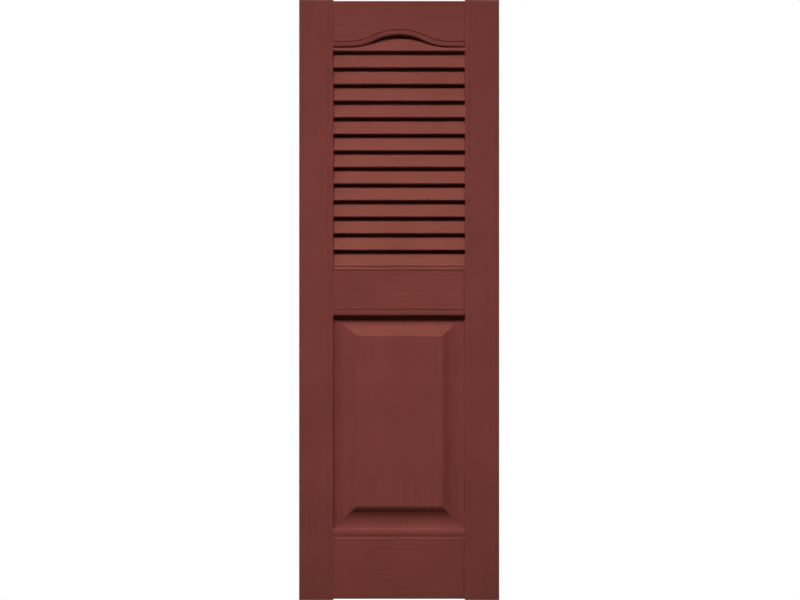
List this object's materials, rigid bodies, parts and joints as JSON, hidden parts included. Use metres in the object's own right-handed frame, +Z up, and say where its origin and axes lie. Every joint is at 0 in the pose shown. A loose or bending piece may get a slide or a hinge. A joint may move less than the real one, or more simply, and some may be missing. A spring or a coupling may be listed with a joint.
{
  "type": "exterior window shutter",
  "caption": "One-piece moulded vinyl shutter with an arched top rail over fixed closed louvres, a centre rail, a coved raised panel and an open ribbed back.",
  "frame": {"origin": "centre of the back plane, where the shutter lies on the wall", "axes": "+Z up the stiles, +Y from the face back into the wall, +X to the right seen from the front"},
  "size_m": [0.3048, 0.0254, 0.9144],
  "materials": {
    "vinyl": "brick red coloured all through, low sheen, fine embossed wood grain"
  },
  "bodies": {
    "root": {"shutter": "vinyl"}
  },
  "joints": []
}
